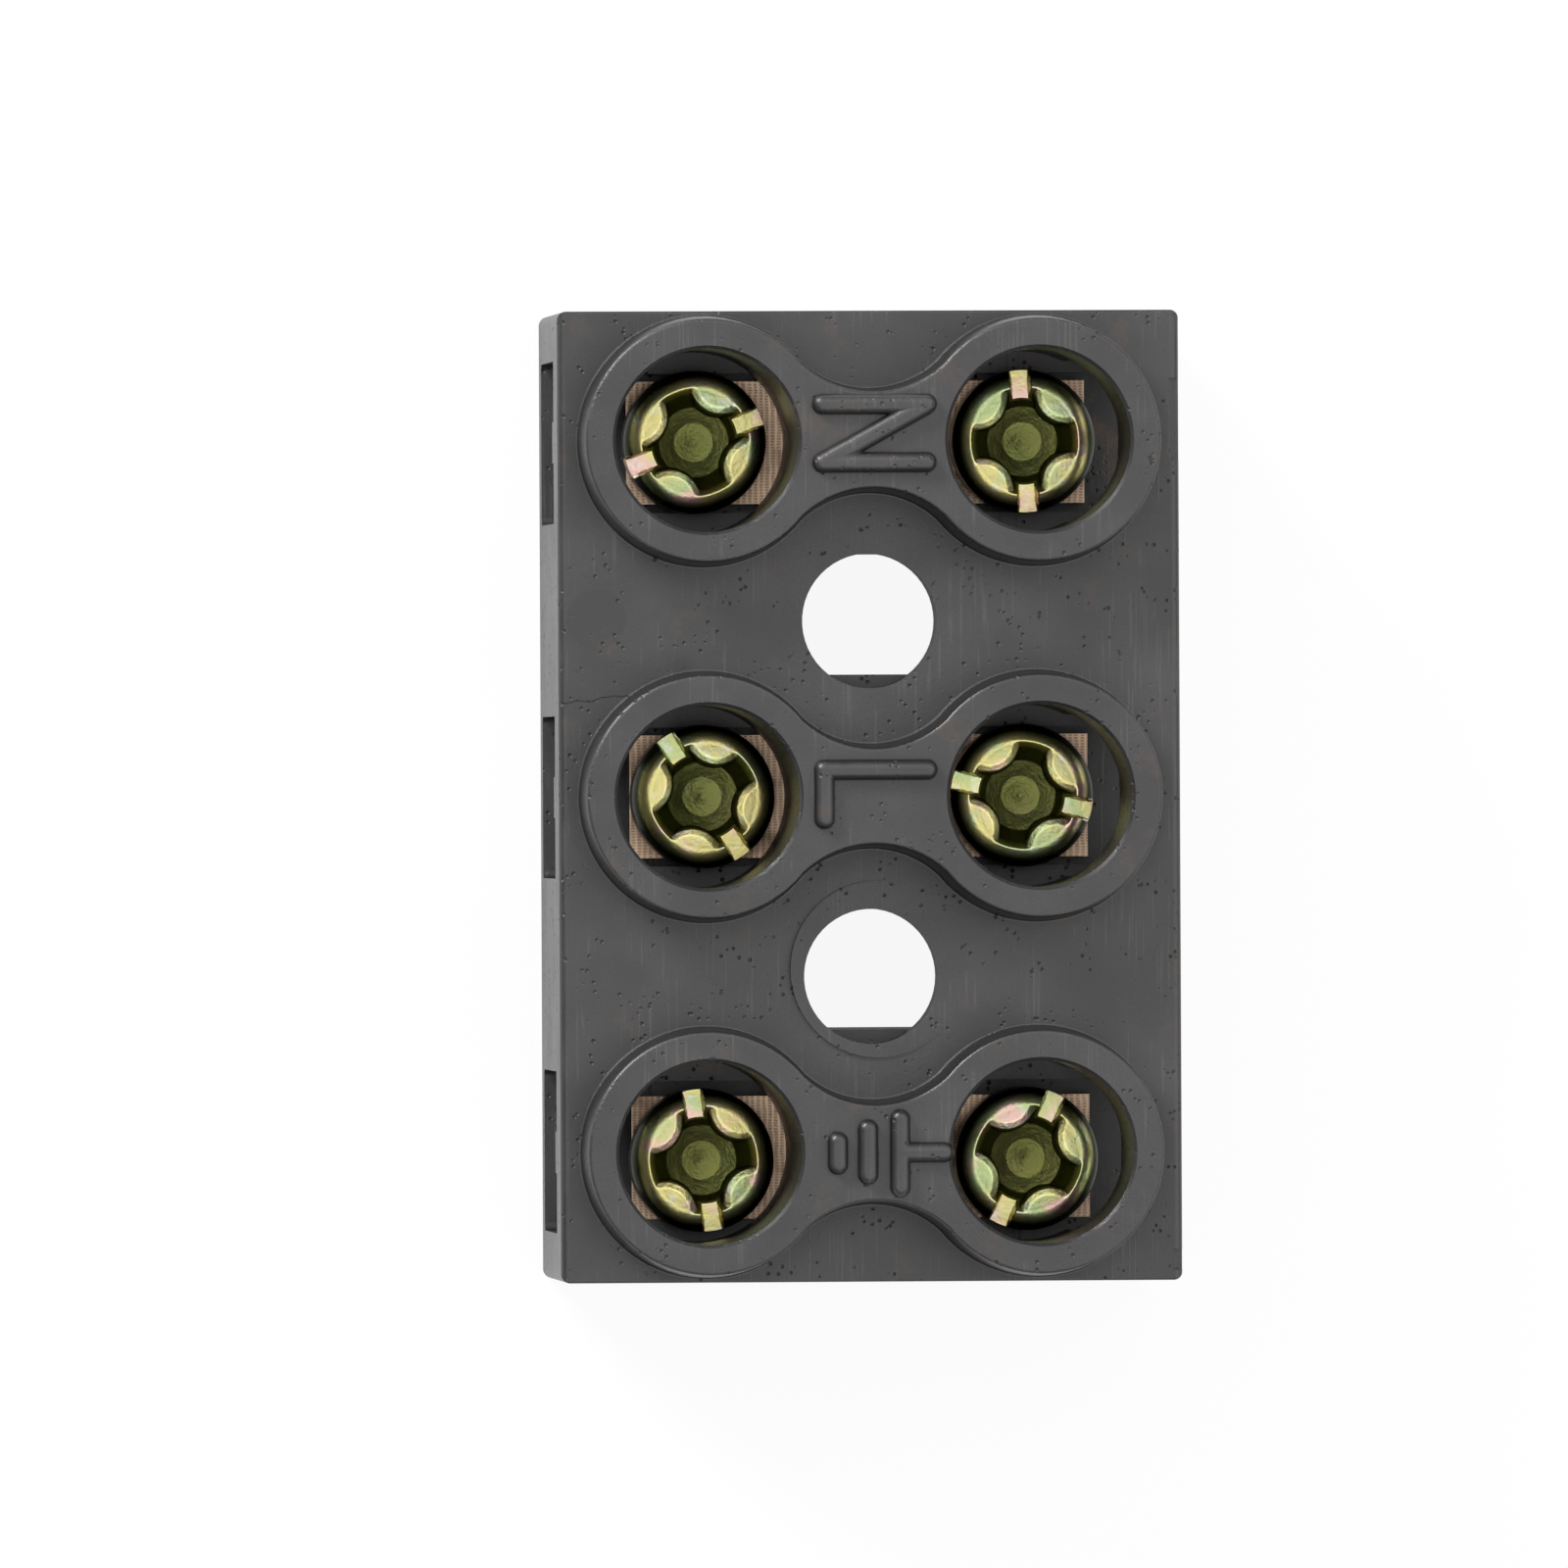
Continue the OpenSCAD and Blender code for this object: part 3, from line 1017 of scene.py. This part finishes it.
@dataclass
class Block:
    """The moulded block: its finish and its marks.

    Attributes:
        finish: The phenolic.
        pole_pitch: Distance between poles, in millimetres.
        marks: The raised marks of the three poles.
    """

    finish: bpy.types.Material
    pole_pitch: float = 17.28
    marks: tuple[FunctionMark, ...] = field(
        default_factory=lambda: (
            FunctionMark(
                Pole.NEUTRAL,
                (
                    (-2.49, 1.72, 2.58, 1.72),
                    (2.50, 1.66, -2.38, -1.04),
                    (-2.49, -1.10, 2.56, -1.10),
                ),
            ),
            FunctionMark(
                Pole.LINE,
                ((-2.47, 1.28, 2.53, 1.28), (-2.47, 1.28, -2.47, -1.09)),
            ),
            FunctionMark(
                Pole.EARTH,
                (
                    (1.13, 0.00, 3.24, 0.00),
                    (1.13, 1.61, 1.13, -1.67),
                    (-0.43, 1.13, -0.43, -1.05),
                    (-1.90, 0.53, -1.90, -0.56),
                ),
            ),
        )
    )

    def build(self) -> list[bpy.types.Object]:
        """Dresses the block and adds its raised details.

        Returns:
            The new pieces.
        """
        dress("housing", self.finish)
        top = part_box("housing")[1][2] / MM
        rows = {Pole.NEUTRAL: 1.0, Pole.LINE: 0.0, Pole.EARTH: -1.0}
        return [
            mark.build((0.0, rows[mark.pole] * self.pole_pitch, top), self.finish)
            for mark in self.marks
        ]


def dress(node: str, finish: bpy.types.Material) -> None:
    """Gives a node of the frame its finish."""
    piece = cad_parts[node]
    piece.data.materials.clear()
    piece.data.materials.append(finish)


# --------------------------------------------------------------------------
# The studio
# --------------------------------------------------------------------------


@dataclass
class Studio:
    """Floor, light and camera of a plain product view.

    Attributes:
        lean: Angle of the view from straight down, towards the left side.
        roll: Turn of the camera about its own axis, in degrees.
        distance: Distance of the camera from the block's top.
        aim: Spot of the top face in the middle of the view, in millimetres.
        span: Width of the view at the top face, in millimetres.
        sky_low: Strength of the sky near the ground.
        sky_high: Strength of the soft light overhead.
        sky_middle: Strength straight overhead.
        sky_lean: Angle that the soft light leans to the right, in degrees.
        sky_edges: Angles from its axis between which the soft light fades.
        middle_edges: The same for the calmer middle.
    """

    lean: float = 4.2
    roll: float = 0.27
    distance: float = 1.2
    aim: tuple[float, float, float] = (-4.20, 0.61, 14.0)
    span: float = 76.19
    sky_low: float = 0.05
    sky_high: float = 1.80
    sky_middle: float = 1.05
    sky_lean: float = 20.0
    sky_edges: tuple[float, float] = (60.0, 48.0)
    middle_edges: tuple[float, float] = (24.0, 10.0)

    def camera(self) -> bpy.types.Object:
        """Makes the camera: it looks down, with +Y up in the view."""
        lens = bpy.data.cameras.new("camera")
        lens.sensor_width = 36.0
        lens.lens = self.distance / MM * lens.sensor_width / self.span
        lens.clip_start = 0.01
        lens.clip_end = 20.0
        view = bpy.data.objects.new("camera", lens)
        bpy.context.scene.collection.objects.link(view)
        lean = math.radians(self.lean)
        back = Vector((-math.sin(lean), 0.0, math.cos(lean)))
        view.location = Vector(self.aim) * MM + back * self.distance
        turn = Matrix.Rotation(-lean, 3, "Y") @ Matrix.Rotation(
            math.radians(-self.roll), 3, "Z"
        )
        view.rotation_euler = turn.to_euler()
        bpy.context.scene.camera = view
        return view

    def sky(self) -> None:
        """Sets the world: a wide soft light overhead, dim to the left.

        The strength is a smooth cap round an axis that leans to the right,
        with a calmer middle straight overhead, over a low level elsewhere.
        """
        world = bpy.data.worlds.new("studio")
        bpy.context.scene.world = world
        world.use_nodes = True
        bench = Bench(world.node_tree)
        way = bench.node("ShaderNodeTexCoord").outputs["Generated"]
        lean = math.radians(self.sky_lean)
        cap = self._along(bench, way, (math.sin(lean), 0.0, math.cos(lean)))
        middle = self._along(bench, way, (0.0, 0.0, 1.0))
        cap = cap.step(*(math.cos(math.radians(a)) for a in self.sky_edges))
        middle = middle.step(*(math.cos(math.radians(a)) for a in self.middle_edges))
        strength = (
            self.sky_low
            + cap * (self.sky_high - self.sky_low)
            - middle * (self.sky_high - self.sky_middle)
        )
        shader = bench.node(
            "ShaderNodeBackground",
            None,
            {"Color": (1.0, 0.995, 0.985, 1.0), "Strength": strength},
        )
        bench.node("ShaderNodeOutputWorld", None, {0: shader.outputs[0]})

    @staticmethod
    def _along(bench: Bench, way: bpy.types.NodeSocket, axis: Colour) -> Signal:
        """Cosine of the angle between a direction and an axis."""
        node = bench.node(
            "ShaderNodeVectorMath", {"operation": "DOT_PRODUCT"}, {0: way, 1: axis}
        )
        return Signal(bench, node.outputs["Value"])

    def lamp(
        self,
        name: str,
        around: float,
        rise: float,
        size: tuple[float, float],
        power: float,
        away: float = 0.5,
    ) -> bpy.types.Object:
        """Adds a soft rectangular lamp that faces the strip.

        Args:
            name: The lamp's name.
            around: Direction from the strip in degrees from +X.
            rise: Height of the lamp above the floor in degrees.
            size: Width and height of the lamp in metres.
            power: Its power in watts.
            away: Its distance in metres.

        Returns:
            The lamp.
        """
        light = bpy.data.lights.new(name, "AREA")
        light.shape = "RECTANGLE"
        light.size, light.size_y = size
        light.energy = power
        stand = bpy.data.objects.new(name, light)
        bpy.context.scene.collection.objects.link(stand)
        a, e = math.radians(around), math.radians(rise)
        level = math.cos(e)
        way = Vector((level * math.cos(a), level * math.sin(a), math.sin(e)))
        stand.location = way * away
        stand.rotation_euler = way.to_track_quat("Z", "Y").to_euler()
        return stand

    def floor(self) -> bpy.types.Object:
        """Lays the pale floor that the strip stands on."""
        half = 3.0
        signs = np.array([[-1, -1, 0], [1, -1, 0], [1, 1, 0], [-1, 1, 0]])
        sheet = add_mesh(
            "floor", signs * half, np.array([[0, 1, 2, 3]]), PaleFloor().make()
        )
        return sheet

    def build(self) -> None:
        """Sets up the whole studio."""
        scene = bpy.context.scene
        scene.view_settings.view_transform = "Standard"
        self.camera()
        self.sky()
        self.floor()
        self.lamp("window_left", 133.0, 27.0, (0.20, 0.10), 3.2)


# Angle of each screw's slot from +X, in degrees.
SLOT_TURNS = {
    (Pole.NEUTRAL, Side.LEFT): 21.2,
    (Pole.NEUTRAL, Side.RIGHT): 93.7,
    (Pole.LINE, Side.LEFT): -56.7,
    (Pole.LINE, Side.RIGHT): -12.9,
    (Pole.EARTH, Side.LEFT): -81.3,
    (Pole.EARTH, Side.RIGHT): 65.3,
}


def report(piece: bpy.types.Object) -> None:
    """Logs a finished piece with its number of faces."""
    log.info("%s: %d faces", piece.name, len(piece.data.polygons))


def main() -> None:
    """Builds the studio, the block, the bars and the screws in order."""
    logging.basicConfig(level=logging.INFO, format="%(message)s")
    Studio().build()
    for piece in Block(Phenolic().make()).build():
        report(piece)
    copper = RolledCopper().make()
    for pole in Pole:
        dress(f"bus_bar_{pole.value}", copper)
    zinc = YellowZinc().make()
    for (pole, side), turn in SLOT_TURNS.items():
        report(ClampScrew(pole, side, turn).build(zinc))


if __name__ == "__main__":
    main()
